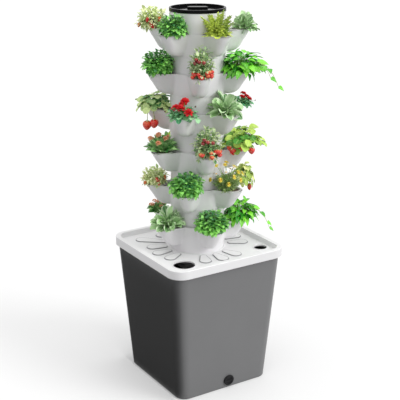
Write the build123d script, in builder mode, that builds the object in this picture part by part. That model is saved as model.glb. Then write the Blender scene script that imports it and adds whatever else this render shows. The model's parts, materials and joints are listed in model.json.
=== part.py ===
"""Hydroponic tower: a tank and lid, six stacked tiers of five cups, a top cover, and a pump with its riser.

Millimetres. The origin is the centre of the tank's underside, +Z is up and the drain plug faces -Y.
"""
import os
from math import asin, atan, cos, degrees, radians, sin, sqrt, tan

from build123d import *

os.makedirs("parts", exist_ok=True)

# Fits
running_gap = 0.05
sliding_gap = 0.3
pipe_gap = 0.15

# Tank
tank_height = 415.4
tank_top_side = 366.0
tank_bottom_side = 306.0
tank_bottom_corner = 32.0
tank_wall = 3.0
tank_floor = 4.0
tank_foot_round = 5.0

# Drain plug, square to the tank's leaning front wall
drain_x = 10.0
drain_z = 26.0
drain_bore_r = 10.0
plug_r = 16.5
plug_head = 3.5
plug_recess_r = 11.0
plug_recess = 1.6
plug_stem = 16.0
seal_r = 15.0
seal_thickness = 2.0

# Lid
lid_side = 380.0
lid_corner = 44.0
lid_wall = 3.0
lid_skirt = 22.0
lid_border = 14.8
lid_round = 2.0
dish_drop = 13.0
dish_draft = 5.0
filler_x = -119.0
filler_y = -118.0
filler_r = 31.0
cable_x = 143.0
cable_y = -118.0
cable_r = 19.5
port_wall = 2.5
port_lip = 1.5

# Petal pads on the lid's deck
petal_count = 16
petal_in_r = 100.0
petal_out_r = 134.0
petal_corner_r = 172.0
petal_in_half = 10.0
petal_out_half = 17.0
petal_height = 2.2

# Tiers
tier_count = 6
tier_pitch = 110.0
tier_turns = (44.0, 6.0, 36.0, 71.0, 25.0, 53.0)
tier_wall = 2.5
cups_per_tier = 5
rim_r = 85.0
column_low_r = 80.0
neck_r = 77.8
neck_length = 54.0
spigot_r = 66.0
spigot_length = 20.0
socket_drop = 4.0
socket_depth = 20.0
neck_show = 21.6

# Cups
cup_reach = 150.0
cup_depth = 60.0
cup_tip = 25.0
cup_apex = 58.0
cup_lean = 33.0
cup_belly = 38.0
cup_flank = 12.0
cup_web = 12.0
cup_levels = (0.0, 0.2, 0.4, 0.6, 0.77, 0.88, 0.96, 1.0)

# Net pots and sponges
pot_place = 115.0
pot_shift = 12.0
pot_depth = 38.0
pot_top_r = 23.5
pot_low_r = 13.5
pot_wall = 1.5
pot_flange_r = 28.0
pot_flange = 1.8
pot_slots = 8
pot_slot = 4.0
pot_slot_top = 9.0
sponge_drop = 3.0

# Drip discs and the tray under the cover
disc_thickness = 2.5
disc_holes = 14
disc_hole_r = 2.5
tray_thickness = 2.5
tray_lip = 10.0
tray_holes = 20
tray_hole_r = 2.0

# Top collar and cover
collar_r = 78.0
collar_height = 59.0
tray_ledge = 26.0
cover_r = 79.0
cover_height = 9.5
cover_floor = 2.5
cover_ring = 6.0
cover_round = 1.5
cover_skirt = 8.0
cover_turn = -32.0
grip_length = 57.0
grip_width = 22.0
grip_proud = 0.8
grip_round = 2.5

# Riser
pipe_r = 10.0
pipe_wall = 2.0
riser_split = 560.0
riser_top = 1072.0
coupling_r = 12.5
coupling_length = 50.0
riser_cap_height = 12.0
riser_slots = 6
riser_slot = 4.0
riser_slot_height = 8.0

# Pump, with its impeller on a level shaft along Y
pump_length = 56.0
pump_width = 40.0
pump_height = 46.0
pump_round = 4.0
pump_foot_height = 7.0
pump_foot_r = 8.0
pump_foot_taper = 15.0
pump_foot_x = 19.0
pump_foot_y = 11.0
chamber_r = 17.0
chamber_depth = 14.0
rotor_well_r = 9.2
rotor_well_depth = 18.0
outlet_r = 5.5
outlet_neck_r = 8.0
outlet_neck = 13.0
adapter_r = 13.0
adapter_web = 2.0
adapter_socket = 14.0
intake_thickness = 4.0
intake_slots = 4
intake_slot = 2.5
intake_pitch = 8.0
intake_slot_length = 24.0
vane_count = 6
vane_r = 14.5
vane_thickness = 1.6
impeller_width = 8.0
impeller_hub_r = 5.0
rotor_r = 8.9
shaft_r = 1.5
shaft_seat = 3.0
gland_r = 5.0
gland_length = 9.0
gland_taper = 8.0
gland_bore_r = 2.5

# Crops: height over the rim, spread, height of the widest part, and lean out from the cup
crop_forms = {
    "herb": (54.0, 36.0, 26.0, 14.0),
    "lettuce": (66.0, 38.0, 44.0, 14.0),
    "sage": (54.0, 38.0, 30.0, 14.0),
    "chilli": (56.0, 36.0, 30.0, 16.0),
    "tomato": (76.0, 34.0, 40.0, 18.0),
    "trailing": (52.0, 38.0, 28.0, 20.0),
    "strawberry": (54.0, 44.0, 28.0, 20.0),
    "geranium": (58.0, 36.0, 32.0, 16.0),
    "kalanchoe": (52.0, 36.0, 28.0, 16.0),
    "daisy": (78.0, 42.0, 46.0, 20.0),
    "seedling": (34.0, 26.0, 18.0, 6.0),
}
tier_crops = (
    ("tomato", "kalanchoe", "sage", "herb", "trailing"),
    ("strawberry", "lettuce", "chilli", "herb", "daisy"),
    ("sage", "seedling", "kalanchoe", "tomato", "strawberry"),
    ("chilli", "strawberry", "geranium", "sage", "geranium"),
    ("seedling", "seedling", "herb", "tomato", "trailing"),
    ("seedling", "chilli", "herb", "lettuce", "sage"),
)
crop_stem_r = 6.0
crop_lift = 4.0
crop_tuck = 16.0
crop_shoulder = 12.0
crop_round = 8.0
trail_reach = 84.0
trail_drop = 20.0
trail_r = 10.0

# Heights that follow from the sizes above
tank_lean = degrees(atan((tank_top_side - tank_bottom_side) / 2 / tank_height))
lid_top = tank_height + lid_wall
deck_top = lid_top - dish_drop
foot_depth = cup_depth + neck_length
first_rim = deck_top + neck_show + cup_depth
well_floor = first_rim - foot_depth
tier_rims = [first_rim + tier_pitch * n for n in range(tier_count)]
collar_base = tier_rims[-1] - socket_drop
collar_top = collar_base + collar_height
cup_angle = 360 / cups_per_tier
lean = radians(cup_lean)


def finish(builder, label):
    """Label a finished piece and write it."""
    builder.part.label = label
    export_step(builder.part, f"parts/{label}.step")


def tank_side(z):
    """Outside width of the tank at a height."""
    return tank_bottom_side + (tank_top_side - tank_bottom_side) * z / tank_height


# Tank
tank_top_corner = lid_corner - (lid_side - tank_top_side) / 2
drain_plane = Plane(
    origin=(drain_x, -tank_side(drain_z) / 2, drain_z),
    x_dir=(1, 0, 0),
    z_dir=(0, -cos(radians(tank_lean)), -sin(radians(tank_lean))),
)
with BuildPart() as water_tank:
    with BuildSketch(Plane.XY):
        RectangleRounded(tank_bottom_side, tank_bottom_side, tank_bottom_corner)
    with BuildSketch(Plane.XY.offset(tank_height)):
        RectangleRounded(tank_top_side, tank_top_side, tank_top_corner)
    loft()
    fillet(water_tank.faces().sort_by(Axis.Z)[0].edges(), tank_foot_round)
    with BuildSketch(Plane.XY.offset(tank_floor)):
        inside = tank_side(tank_floor) - 2 * tank_wall
        RectangleRounded(inside, inside, tank_bottom_corner - tank_wall)
    with BuildSketch(Plane.XY.offset(tank_height)):
        inside = tank_top_side - 2 * tank_wall
        RectangleRounded(inside, inside, tank_top_corner - tank_wall)
    loft(mode=Mode.SUBTRACT)
    with BuildSketch(drain_plane):
        Circle(drain_bore_r)
    extrude(amount=-3 * tank_wall, mode=Mode.SUBTRACT)
finish(water_tank, "water_tank")

# Drain plug and its seal
with BuildPart() as drain_seal:
    with BuildSketch(drain_plane):
        Circle(seal_r)
        Circle(drain_bore_r, mode=Mode.SUBTRACT)
    extrude(amount=seal_thickness)
finish(drain_seal, "drain_seal")

with BuildPart() as drain_plug:
    with BuildSketch(drain_plane.offset(seal_thickness)):
        Circle(plug_r)
    extrude(amount=plug_head)
    fillet(drain_plug.edges().filter_by(GeomType.CIRCLE).group_by(Axis.Y)[0], plug_recess)
    with BuildSketch(drain_plane.offset(seal_thickness + plug_head)):
        Circle(plug_recess_r)
        Rectangle(2 * plug_recess_r, plug_recess_r / 3, mode=Mode.SUBTRACT)
    extrude(amount=-plug_recess, mode=Mode.SUBTRACT)
    with BuildSketch(drain_plane.offset(seal_thickness)):
        Circle(drain_bore_r - sliding_gap)
    extrude(amount=-plug_stem)
finish(drain_plug, "drain_plug")

# Lid
dish_top_side = lid_side - 2 * lid_border
dish_low_side = dish_top_side - 2 * dish_draft
dish_corner = lid_corner - lid_border
channel_out_side = lid_side - 2 * lid_wall
channel_in_side = dish_top_side + 2 * lid_wall
well_wall_r = neck_r + sliding_gap + tier_wall
socket_r = spigot_r + sliding_gap
corner_angles = (45.0, 135.0)
port_angles = (225.0, 315.0)


def petal_outline(out_r):
    """Pad with round ends, narrow near the well and wide at its outer end."""
    with Locations((petal_in_r, 0)):
        Circle(petal_in_half)
    with Locations((out_r, 0)):
        Circle(petal_out_half)
    make_hull()


with BuildSketch() as side_petal:
    petal_outline(petal_out_r)
with BuildSketch() as corner_petal:
    petal_outline(petal_corner_r)

with BuildPart() as tank_lid:
    with BuildSketch(Plane.XY.offset(lid_top)):
        RectangleRounded(lid_side, lid_side, lid_corner)
    extrude(amount=-lid_wall - lid_skirt)
    fillet(tank_lid.faces().sort_by(Axis.Z)[-1].edges(), lid_round)
    with BuildSketch(Plane.XY.offset(lid_top)):
        RectangleRounded(dish_top_side, dish_top_side, dish_corner)
    with BuildSketch(Plane.XY.offset(deck_top)):
        RectangleRounded(dish_low_side, dish_low_side, dish_corner - dish_draft)
    loft(mode=Mode.SUBTRACT)
    with BuildSketch(Plane.XY.offset(deck_top - lid_wall)):
        RectangleRounded(channel_out_side, channel_out_side, lid_corner - lid_wall)
    extrude(amount=-lid_skirt, mode=Mode.SUBTRACT)
    with BuildSketch(Plane.XY.offset(tank_height)):
        RectangleRounded(channel_out_side, channel_out_side, lid_corner - lid_wall)
        RectangleRounded(channel_in_side, channel_in_side, dish_corner + lid_wall, mode=Mode.SUBTRACT)
    extrude(amount=-lid_skirt, mode=Mode.SUBTRACT)
    # Petal pads, longer where the deck has its corners
    with BuildSketch(Plane.XY.offset(deck_top)):
        for index in range(petal_count):
            angle = 360 / petal_count * index
            if angle in port_angles:
                continue
            petal = corner_petal if angle in corner_angles else side_petal
            with PolarLocations(0, 1, start_angle=angle):
                add(petal.sketch)
    extrude(amount=petal_height)
    # Round well that takes the first tier's neck
    with BuildSketch(Plane.XZ):
        with BuildLine():
            Polyline(
                (well_wall_r - tier_wall, deck_top + petal_height),
                (well_wall_r, deck_top + petal_height),
                (well_wall_r, well_floor - tier_wall),
                (socket_r + tier_wall, well_floor - tier_wall),
                (socket_r + tier_wall, well_floor - socket_depth),
                (socket_r, well_floor - socket_depth),
                (socket_r, well_floor),
                (well_wall_r - tier_wall, well_floor),
                close=True,
            )
        make_face()
    revolve(axis=Axis.Z)
    with BuildSketch(Plane.XY.offset(lid_top)):
        Circle(well_wall_r - tier_wall)
    extrude(amount=well_floor - lid_top, mode=Mode.SUBTRACT)
    # Filler port and cable port
    for port_x, port_y, port_r in ((filler_x, filler_y, filler_r), (cable_x, cable_y, cable_r)):
        with BuildSketch(Plane.XY.offset(deck_top + port_lip)):
            with Locations((port_x, port_y)):
                Circle(port_r + port_wall)
        extrude(amount=-port_lip - lid_wall)
        with BuildSketch(Plane.XY.offset(deck_top + port_lip)):
            with Locations((port_x, port_y)):
                Circle(port_r)
        extrude(amount=-port_lip - lid_wall, mode=Mode.SUBTRACT)
finish(tank_lid, "tank_lid")


def reach_at(depth, inset):
    """Radius of a cup's outermost point at a depth under the rim: a leaning line, then a round belly."""
    belly = cup_belly - inset
    straight = cup_depth - inset - belly * (1 - sin(lean))
    start = cup_reach - inset / cos(lean)
    if depth <= straight:
        return start - depth * tan(lean)
    sine = min(1.0, sin(lean) + (depth - straight) / belly)
    return start - straight * tan(lean) - belly * (cos(lean) - cos(asin(sine)))


def tip_at(reach):
    """Radius of the rounded end of a cup whose outermost point is at this radius."""
    return cup_tip * (reach - cup_apex) / (cup_reach - cup_apex)


def cup_outline(depth, inset):
    """Level outline of the five cups and the column between them, set in from the outside by inset."""
    reach = reach_at(depth, inset)
    tip = tip_at(reach) - inset * cos(lean)
    centre = Vector(reach - tip, 0)
    column = rim_r - (rim_r - column_low_r) * depth / cup_depth - inset
    web = cup_web * tip_at(reach_at(min(depth, cup_depth), 0)) / cup_tip + inset
    flank = Vector(sin(radians(cup_flank)), cos(radians(cup_flank)))
    along = Vector(-cos(radians(cup_flank)), sin(radians(cup_flank)))
    start = centre + flank * (tip + web)
    half = centre.X * cos(radians(cup_flank))
    run = half - sqrt(half**2 - start.length**2 + (column + web) ** 2)
    web_centre = start + along * run
    flank_out = centre + flank * tip
    flank_in = web_centre - flank * web
    web_middle = web_centre - (flank + web_centre.normalized()).normalized() * web
    web_end = web_centre * (column / (column + web))
    valley = Vector(column, 0).rotate(Axis.Z, cup_angle / 2)

    def at(point, side, turn):
        return Vector(point.X, side * point.Y).rotate(Axis.Z, turn)

    with BuildSketch(Plane.XY.offset(-depth)) as outline:
        with BuildLine():
            for cup in range(cups_per_tier):
                turn = cup_angle * cup
                ThreePointArc(at(web_end, -1, turn), at(web_middle, -1, turn), at(flank_in, -1, turn))
                Line(at(flank_in, -1, turn), at(flank_out, -1, turn))
                ThreePointArc(at(flank_out, -1, turn), at(Vector(reach, 0), 1, turn), at(flank_out, 1, turn))
                Line(at(flank_out, 1, turn), at(flank_in, 1, turn))
                ThreePointArc(at(flank_in, 1, turn), at(web_middle, 1, turn), at(web_end, 1, turn))
                ThreePointArc(at(web_end, 1, turn), at(valley, 1, turn), at(web_end, -1, turn + cup_angle))
        make_face()
    return outline.sketch


def neck_profile(inset, top, bottom):
    """Half section of a tier's neck: straight down to its foot, then the spigot."""
    foot_end = -foot_depth + inset
    with BuildSketch(Plane.XZ) as profile:
        with BuildLine():
            Polyline(
                (0, top),
                (neck_r - inset, top),
                (neck_r - inset, foot_end),
                (spigot_r - inset, foot_end),
                (spigot_r - inset, bottom),
                (0, bottom),
                close=True,
            )
        make_face()
    return profile.sketch


# One tier, with its rim at z = 0 and its first cup along +X
spigot_end = -foot_depth - spigot_length
deck_r = rim_r - tier_wall / 2
with BuildPart() as tier_blank:
    for level in cup_levels:
        add(cup_outline(level * cup_depth, 0))
    loft()
    add(neck_profile(0, -cup_depth + tier_wall, spigot_end))
    revolve(axis=Axis.Z)
    for level in cup_levels:
        add(cup_outline(level * (cup_depth - tier_wall), tier_wall))
    loft(mode=Mode.SUBTRACT)
    add(neck_profile(tier_wall, -cup_depth + 2 * tier_wall, spigot_end))
    revolve(axis=Axis.Z, mode=Mode.SUBTRACT)
    # Socket for the spigot of the piece above
    with BuildSketch(Plane.XZ):
        with BuildLine():
            Polyline(
                (socket_r, -socket_drop),
                (deck_r, -socket_drop),
                (deck_r, -socket_drop - tier_wall),
                (socket_r + tier_wall, -socket_drop - tier_wall),
                (socket_r + tier_wall, -socket_drop - socket_depth),
                (socket_r, -socket_drop - socket_depth),
                close=True,
            )
        make_face()
    revolve(axis=Axis.Z)

# Leaning axis of a net pot, with the pot's rim at z = 0
pot_plane = Plane(origin=(pot_place, 0, 0), x_dir=(pot_depth, 0, -pot_shift), z_dir=(pot_shift, 0, pot_depth))
pot_slope = (pot_top_r - pot_low_r) / pot_depth


def pot_cone(inset, top, end):
    """Cone of the net pot down to a depth along its axis, set in by inset and cut level at the top."""
    with BuildPart() as cone:
        with Locations(pot_plane.offset(-end)):
            Cone(
                pot_top_r - pot_slope * end - inset,
                pot_top_r + pot_slope * pot_top_r - inset,
                end + pot_top_r,
                align=(Align.CENTER, Align.CENTER, Align.MIN),
            )
        split(bisect_by=Plane.XY.offset(top), keep=Keep.BOTTOM)
    return cone.part


# One net pot and one sponge, at the cup along +X
with BuildPart() as pot_blank:
    add(pot_cone(0, 0, pot_depth))
    with BuildSketch(Plane.XY):
        with Locations((pot_place, 0)):
            Circle(pot_flange_r)
    extrude(amount=pot_flange)
    add(pot_cone(pot_wall, pot_flange, pot_depth - pot_wall), mode=Mode.SUBTRACT)
    slot_height = pot_depth - pot_wall - 2 * pot_slot - pot_slot_top
    with BuildSketch(Plane.XY.offset(-pot_slot_top - slot_height)):
        with Locations((pot_place - pot_shift / 2, 0)):
            with PolarLocations(pot_top_r / 2, pot_slots):
                Rectangle(pot_top_r + pot_shift, pot_slot)
            Circle(pot_low_r / 2, mode=Mode.SUBTRACT)
    extrude(amount=slot_height, mode=Mode.SUBTRACT)

with BuildPart() as sponge_blank:
    add(pot_cone(pot_wall + sliding_gap, -sponge_drop, pot_depth - pot_wall))


def crop_mound(form):
    """Half section of a crop: leaves that widen from the pot to a waist and close in towards the top."""
    height, spread, waist, shift = form
    with BuildSketch(Plane.XZ) as mound:
        with BuildLine():
            Polyline(
                (shift, crop_lift),
                (shift + spread - crop_tuck, crop_lift),
                (shift + spread, waist),
                (shift + spread - crop_shoulder, height),
                (shift, height),
                close=True,
            )
        make_face()
        fillet(mound.vertices().sort_by(Axis.X)[2:], crop_round)
    return mound.sketch


# One of each crop, with its stem at the pot's centre and +X out from the tower
crop_blanks = {}
for kind, form in crop_forms.items():
    with BuildPart() as crop:
        with BuildSketch(Plane.XY.offset(-sponge_drop)):
            Circle(crop_stem_r)
        extrude(amount=sponge_drop + 2 * crop_lift)
        add(crop_mound(form))
        revolve(axis=Axis((form[3], 0, 0), (0, 0, 1)))
        if kind == "trailing":
            start = (form[3], form[2])
            crown = (trail_reach * 0.55, form[2] + trail_r)
            with BuildLine(Plane.XZ) as branch:
                ThreePointArc(start, crown, (trail_reach, -trail_drop))
            with BuildSketch(Plane(origin=branch.wire() @ 0, z_dir=branch.wire() % 0)):
                Circle(trail_r)
            sweep(path=branch.wire())
    crop_blanks[kind] = crop.part

# The tiers and what stands in them
for number, (rim_z, turn, crops) in enumerate(zip(tier_rims, tier_turns, tier_crops), start=1):
    here = Location((0, 0, rim_z), (0, 0, turn))
    with BuildPart() as tier:
        with Locations(here):
            add(tier_blank.part)
    finish(tier, f"tier_{number}")

    with BuildPart() as net_pots:
        with Locations(here):
            with PolarLocations(0, cups_per_tier):
                add(pot_blank.part)
    finish(net_pots, f"net_pots_{number}")

    with BuildPart() as grow_sponges:
        with Locations(here):
            with PolarLocations(0, cups_per_tier):
                add(sponge_blank.part)
    finish(grow_sponges, f"grow_sponges_{number}")

    with BuildPart() as plants:
        for cup, kind in enumerate(crops):
            with Locations(here):
                with PolarLocations(pot_place, 1, start_angle=cup_angle * cup):
                    add(crop_blanks[kind])
    finish(plants, f"plants_{number}")

    with BuildPart() as drip_disc:
        with BuildSketch(Plane.XY.offset(rim_z - foot_depth + tier_wall)):
            Circle(neck_r - tier_wall - sliding_gap)
            Circle(coupling_r + 2 * sliding_gap, mode=Mode.SUBTRACT)
            with PolarLocations((spigot_r + coupling_r) / 2, disc_holes):
                Circle(disc_hole_r, mode=Mode.SUBTRACT)
            with PolarLocations((spigot_r + 3 * coupling_r) / 4, disc_holes // 2):
                Circle(disc_hole_r, mode=Mode.SUBTRACT)
        extrude(amount=disc_thickness)
    finish(drip_disc, f"drip_disc_{number}")

# Top collar, standing in the top tier's socket
collar_in_r = collar_r - tier_wall
ledge_top = collar_base + tray_ledge
with BuildPart() as top_collar:
    with BuildSketch(Plane.XZ):
        with BuildLine():
            Polyline(
                (collar_r, collar_base),
                (collar_r, collar_top),
                (collar_in_r, collar_top),
                (collar_in_r, ledge_top),
                (collar_in_r - 2 * tier_wall, ledge_top),
                (collar_in_r - 2 * tier_wall, ledge_top - tier_wall),
                (collar_in_r, ledge_top - 3 * tier_wall),
                (collar_in_r, collar_base + tier_wall),
                (spigot_r - tier_wall, collar_base + tier_wall),
                (spigot_r - tier_wall, collar_base - spigot_length),
                (spigot_r, collar_base - spigot_length),
                (spigot_r, collar_base),
                close=True,
            )
        make_face()
    revolve(axis=Axis.Z)
finish(top_collar, "top_collar")

# Tray that spreads the water, on the collar's ledge
tray_r = collar_in_r - sliding_gap
bush_bore_r = pipe_r + sliding_gap
with BuildPart() as distributor_tray:
    with BuildSketch(Plane.XY.offset(ledge_top)):
        Circle(tray_r)
        Circle(bush_bore_r, mode=Mode.SUBTRACT)
        with PolarLocations(collar_in_r - 4 * tier_wall, tray_holes):
            Circle(tray_hole_r, mode=Mode.SUBTRACT)
    extrude(amount=tray_thickness)
    with BuildSketch(Plane.XY.offset(ledge_top)):
        Circle(tray_r)
        Circle(tray_r - tray_thickness, mode=Mode.SUBTRACT)
        Circle(bush_bore_r + tray_thickness)
        Circle(bush_bore_r, mode=Mode.SUBTRACT)
    extrude(amount=tray_lip)
finish(distributor_tray, "distributor_tray")

# Cover: a dish with a raised ring, a bar grip across it and a skirt inside the collar
cover_plane = Plane(origin=(0, 0, collar_top), x_dir=(cos(radians(cover_turn)), sin(radians(cover_turn)), 0))
skirt_r = collar_in_r - sliding_gap
with BuildPart() as top_cover:
    with BuildSketch(cover_plane):
        Circle(cover_r)
    extrude(amount=cover_height)
    with BuildSketch(cover_plane.offset(cover_height)):
        Circle(cover_r - cover_ring)
    extrude(amount=cover_floor - cover_height, mode=Mode.SUBTRACT)
    fillet(top_cover.faces().sort_by(Axis.Z)[-1].edges(), cover_round)
    with BuildSketch(cover_plane.offset(cover_floor)):
        SlotOverall(grip_length, grip_width)
    extrude(amount=cover_height + grip_proud - cover_floor)
    fillet(top_cover.faces().sort_by(Axis.Z)[-1].edges(), grip_round)
    with BuildSketch(cover_plane):
        Circle(skirt_r)
        Circle(skirt_r - tier_wall, mode=Mode.SUBTRACT)
    extrude(amount=-cover_skirt)
finish(top_cover, "top_cover")

# Pump on the tank's floor, with its impeller chamber under the riser
pump_front = -chamber_depth / 2
pump_y = pump_front + pump_width / 2
pump_low = tank_floor + pump_foot_height
pump_top = pump_low + pump_height
shaft_z = pump_low + pump_height / 2
neck_top = pump_top + outlet_neck
shaft_plane = Plane(origin=(0, pump_front, shaft_z), x_dir=(1, 0, 0), z_dir=(0, -1, 0))
with BuildPart() as pump_feet:
    with BuildSketch(Plane.XY.offset(tank_floor)):
        with Locations((0, pump_y)):
            with GridLocations(2 * pump_foot_x, 2 * pump_foot_y, 2, 2):
                Circle(pump_foot_r)
    extrude(amount=pump_foot_height, taper=pump_foot_taper)
finish(pump_feet, "pump_feet")

with BuildPart() as pump_housing:
    with BuildSketch(Plane.XY.offset(pump_low)):
        with Locations((0, pump_y)):
            RectangleRounded(pump_length, pump_width, pump_round)
    extrude(amount=pump_height)
    with BuildSketch(Plane.XY.offset(pump_top)):
        Circle(outlet_neck_r)
    extrude(amount=outlet_neck)
    with BuildSketch(shaft_plane):
        Circle(chamber_r)
    extrude(amount=-chamber_depth, mode=Mode.SUBTRACT)
    with BuildSketch(shaft_plane.offset(-chamber_depth)):
        Circle(rotor_well_r)
    extrude(amount=-rotor_well_depth, mode=Mode.SUBTRACT)
    with BuildSketch(shaft_plane.offset(-chamber_depth - rotor_well_depth)):
        Circle(shaft_r + running_gap)
    extrude(amount=-shaft_seat, mode=Mode.SUBTRACT)
    with BuildSketch(Plane.XY.offset(neck_top)):
        Circle(outlet_r)
    extrude(amount=shaft_z + chamber_r - outlet_r - neck_top, mode=Mode.SUBTRACT)
finish(pump_housing, "pump_housing")

with BuildPart() as pump_intake_cover:
    with BuildSketch(shaft_plane):
        RectangleRounded(pump_length - 2 * pump_round, pump_height - 2 * pump_round, pump_round)
        with GridLocations(intake_pitch, 0, intake_slots, 1):
            SlotOverall(intake_slot_length, intake_slot, rotation=90, mode=Mode.SUBTRACT)
    extrude(amount=intake_thickness)
    with BuildSketch(shaft_plane):
        Circle(shaft_r + running_gap)
    extrude(amount=intake_thickness / 2, mode=Mode.SUBTRACT)
finish(pump_intake_cover, "pump_intake_cover")

# Impeller, magnet rotor and the fixed shaft that they turn on
impeller_start = (chamber_depth - impeller_width) / 2
rotor_start = chamber_depth + sliding_gap
with BuildPart() as pump_impeller:
    with BuildSketch(shaft_plane.offset(-impeller_start)):
        Circle(impeller_hub_r)
        with PolarLocations((vane_r + impeller_hub_r) / 2, vane_count):
            Rectangle(vane_r - impeller_hub_r + vane_thickness, vane_thickness)
    extrude(amount=-impeller_width)
    with BuildSketch(shaft_plane.offset(-impeller_start)):
        Circle(impeller_hub_r)
    extrude(amount=impeller_start - rotor_start)
    with BuildSketch(shaft_plane):
        Circle(shaft_r + running_gap)
    extrude(amount=-chamber_depth - rotor_well_depth, mode=Mode.SUBTRACT)
finish(pump_impeller, "pump_impeller")

with BuildPart() as rotor_magnet:
    with BuildSketch(shaft_plane.offset(-rotor_start)):
        Circle(rotor_r)
        Circle(shaft_r + running_gap, mode=Mode.SUBTRACT)
    extrude(amount=rotor_start + sliding_gap - chamber_depth - rotor_well_depth)
finish(rotor_magnet, "rotor_magnet")

with BuildPart() as impeller_shaft:
    with BuildSketch(shaft_plane.offset(intake_thickness / 2)):
        Circle(shaft_r)
    extrude(amount=-intake_thickness / 2 - chamber_depth - rotor_well_depth - shaft_seat)
finish(impeller_shaft, "impeller_shaft")

gland_plane = Plane(origin=(0, pump_front + pump_width, pump_top - 2 * gland_r), x_dir=(1, 0, 0), z_dir=(0, 1, 0))
with BuildPart() as pump_cable_gland:
    with BuildSketch(gland_plane):
        Circle(gland_r)
    extrude(amount=gland_length, taper=gland_taper)
    with BuildSketch(gland_plane.offset(gland_length)):
        Circle(gland_bore_r)
    extrude(amount=gland_bore_r - gland_length, mode=Mode.SUBTRACT)
finish(pump_cable_gland, "pump_cable_gland")


def ring(bottom, height, out_r, in_r):
    """Round sleeve about the tower's axis."""
    with BuildPart() as sleeve:
        with BuildSketch(Plane.XY.offset(bottom)):
            Circle(out_r)
            Circle(in_r, mode=Mode.SUBTRACT)
        extrude(amount=height)
    return sleeve.part


# Riser from the pump to the tray
pipe_low = neck_top + adapter_web
with BuildPart() as outlet_adapter:
    add(ring(pump_top, outlet_neck, adapter_r, outlet_neck_r + pipe_gap))
    add(ring(neck_top, adapter_web, adapter_r, outlet_r))
    add(ring(pipe_low, adapter_socket, adapter_r, pipe_r + pipe_gap))
finish(outlet_adapter, "outlet_adapter")

with BuildPart() as riser_lower:
    add(ring(pipe_low, riser_split - pipe_low, pipe_r, pipe_r - pipe_wall))
finish(riser_lower, "riser_lower")

with BuildPart() as riser_upper:
    add(ring(riser_split, riser_top - riser_split, pipe_r, pipe_r - pipe_wall))
finish(riser_upper, "riser_upper")

with BuildPart() as riser_coupling:
    add(ring(riser_split - coupling_length / 2, coupling_length, coupling_r, pipe_r + pipe_gap))
finish(riser_coupling, "riser_coupling")

with BuildPart() as riser_cap:
    add(ring(riser_top, riser_cap_height, pipe_r, pipe_r - pipe_wall))
    with BuildSketch(Plane.XY.offset(riser_top + riser_cap_height)):
        Circle(pipe_r)
    extrude(amount=-pipe_wall)
    with BuildSketch(Plane.XY.offset(riser_top)):
        with PolarLocations(pipe_r, riser_slots):
            Rectangle(2 * riser_slot, riser_slot)
    extrude(amount=riser_slot_height, mode=Mode.SUBTRACT)
    add(ring(riser_top - 2 * pipe_wall, 2 * pipe_wall, pipe_r - pipe_wall - pipe_gap, pipe_r - 2 * pipe_wall))
    add(ring(riser_top, pipe_wall, pipe_r, pipe_r - 2 * pipe_wall))
finish(riser_cap, "riser_cap")
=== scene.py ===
"""Looks of the hydroponic tower: a satin tank and lid, white tiers of cups, a glossy cover and growing crops.

Metres, in the frame of the solids: the origin is the centre of the tank's underside, +Z is up and the drain
plug faces -Y. A crop is worked out at a stem that stands at the origin with +X out from the tower.
"""
import json
from math import cos, pi, radians, sin

import bpy
import numpy as np
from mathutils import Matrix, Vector


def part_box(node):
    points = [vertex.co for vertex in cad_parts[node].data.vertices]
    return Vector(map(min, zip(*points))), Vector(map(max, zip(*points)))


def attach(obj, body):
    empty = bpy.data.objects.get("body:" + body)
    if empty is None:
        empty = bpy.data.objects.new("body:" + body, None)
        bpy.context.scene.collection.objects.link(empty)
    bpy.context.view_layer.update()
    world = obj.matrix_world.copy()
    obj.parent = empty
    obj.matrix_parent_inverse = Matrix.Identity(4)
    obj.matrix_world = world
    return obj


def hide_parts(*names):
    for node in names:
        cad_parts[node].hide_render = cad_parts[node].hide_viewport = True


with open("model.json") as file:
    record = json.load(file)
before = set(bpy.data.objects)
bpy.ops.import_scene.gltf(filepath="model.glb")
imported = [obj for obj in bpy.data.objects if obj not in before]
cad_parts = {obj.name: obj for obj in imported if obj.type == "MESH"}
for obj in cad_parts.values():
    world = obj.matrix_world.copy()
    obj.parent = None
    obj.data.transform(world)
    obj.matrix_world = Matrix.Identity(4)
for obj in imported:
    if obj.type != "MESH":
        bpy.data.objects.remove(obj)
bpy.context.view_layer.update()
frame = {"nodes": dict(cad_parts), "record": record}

# Camera: its place, the way it looks and the lens that gives the photograph's framing
camera_place = (-1.4547, -2.2997, 1.4388)
camera_azimuth = -32.31
camera_drop = 18.2
camera_lens = 88.38
camera_shift = 0.00625

# Floor, sky and lamps: the strength of each and the way towards each lamp
floor_size = 120.0
floor_white = (0.60, 0.60, 0.60)
floor_dull = (0.34, 0.34, 0.34)
floor_glow = 0.28
sky_low = 0.44
sky_rise = 0.62
key_way = (0.46, -0.75, 0.48)
key_strength = 0.52
key_spread = 30.0
top_way = (-0.10, -0.16, 0.98)
top_strength = 0.20
top_spread = 50.0

# Pads round the tower on the lid: their number, and the radius and half width of each round end. The far ends
# of those in the two back corners lie further out, and the two front corners have ports instead.
pad_count = 16
pad_near, pad_near_half = 0.100, 0.010
pad_far, pad_far_half = 0.134, 0.017
pad_corner_far = 0.172
# Width and colour of the painted shade line along the foot of each pad
pad_shade_width = 0.0018
pad_shade_colour = (0.30, 0.30, 0.31)

# Net beside the tank's left face: its corners, and the share of the light that it passes
net_corners = (
    (-0.1580, -0.166, 0.004), (-0.1580, 0.185, 0.004), (-0.1945, 0.220, 0.386), (-0.1945, -0.204, 0.386),
)
net_share = 0.20

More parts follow.
